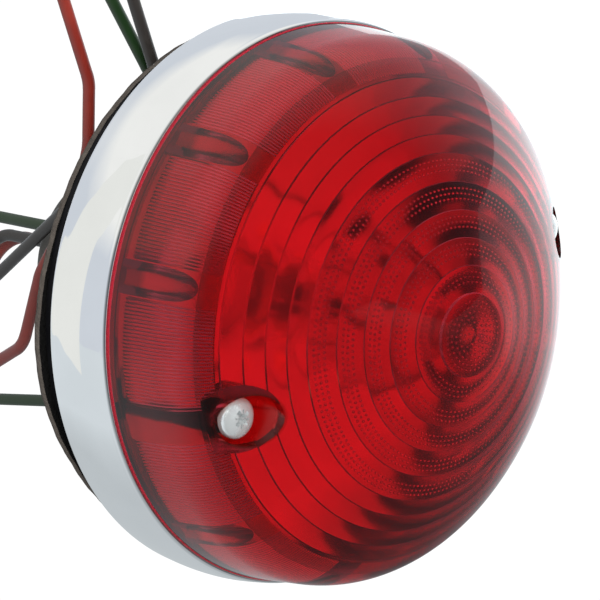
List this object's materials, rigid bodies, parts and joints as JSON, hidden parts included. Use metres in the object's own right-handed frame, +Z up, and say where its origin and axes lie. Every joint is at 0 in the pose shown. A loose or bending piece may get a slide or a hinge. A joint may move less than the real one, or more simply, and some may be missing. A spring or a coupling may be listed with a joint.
{
  "type": "trailer tail light",
  "caption": "Round red trailer tail light with a domed ribbed lens, chrome bezel, foam gasket, bayonet bulb holder, rubber rear boot and loose cable tails.",
  "frame": {"origin": "centre of the mounting face, the gasket's back face, midway between the two fixing holes", "axes": "-Y along the lamp axis out of the lens, +Z up, +X to the right when facing the lens (looking along +Y); the two fixing holes and the two lens screws lie on X"},
  "size_m": [0.0954, 0.128, 0.1107],
  "materials": {
    "foam": "matt closed-cell foam",
    "black_moulding": "matt black moulding",
    "brass": "satin",
    "chrome": "polished",
    "rubber": "matt",
    "lens_red": "polished transparent red, ribbed inside",
    "zinc_plate": "bright zinc plated",
    "reflector_metal": "bright",
    "steel": "plated",
    "brown_board": "paper laminate board",
    "black_glass": "glossy black",
    "solder": "dull solder",
    "clear_glass": "clear",
    "tungsten": "dull wire coil",
    "green_insulation": "satin",
    "black_insulation": "satin",
    "red_insulation": "satin",
    "copper": "bare copper strands"
  },
  "bodies": {
    "base": {"mounting_gasket": "foam", "base_housing": "black_moulding", "insert_left": "brass", "insert_right": "brass", "lens_seal": "rubber", "reflector": "reflector_metal", "socket_shell": "steel", "socket_rivets": "brass", "earth_tag": "brass", "socket_cup": "black_moulding", "rear_boot": "rubber", "cable_green": "green_insulation", "cable_black": "black_insulation", "cable_red": "red_insulation", "core_green": "copper", "core_black": "copper", "core_red": "copper"},
    "bezel": {"chrome_bezel": "chrome"},
    "lens": {"lens": "lens_red"},
    "screw_left": {"lens_screw_left": "zinc_plate"},
    "screw_right": {"lens_screw_right": "zinc_plate"},
    "contacts": {"contact_carrier": "brown_board", "plunger_left": "brass", "plunger_right": "brass", "contact_spring": "steel"},
    "bulb": {"bulb_cap": "brass", "bulb_pins": "brass", "bulb_insulator": "black_glass", "bulb_contacts": "solder", "bulb_glass": "clear_glass", "bulb_stem": "clear_glass", "filament_leads": "steel", "filament_stop": "tungsten", "filament_tail": "tungsten"}
  },
  "joints": [
    {"name": "bezel_lift", "type": "slide", "parent": "base", "child": "bezel", "axis": [0, -1, 0], "range_m": [0, 0.045]},
    {"name": "lens_lift", "type": "slide", "parent": "bezel", "child": "lens", "axis": [0, -1, 0], "range_m": [0, 0.06]},
    {"name": "screw_left_draw", "type": "slide", "parent": "lens", "child": "screw_left", "axis": [0, -1, 0], "range_m": [0, 0.024]},
    {"name": "screw_right_draw", "type": "slide", "parent": "lens", "child": "screw_right", "axis": [0, -1, 0], "range_m": [0, 0.024]},
    {"name": "contact_push", "type": "slide", "parent": "base", "child": "contacts", "axis": [0, 1, 0], "range_m": [0, 0.002], "stiffness_N_per_m": 4000, "springref_m": -0.003, "deforming": ["contact_spring"]},
    {"name": "bulb_twist", "type": "hinge", "parent": "contacts", "child": "bulb", "pos_m": [0, 0, 0], "axis": [0, -1, 0], "range_deg": [0, 20]}
  ]
}
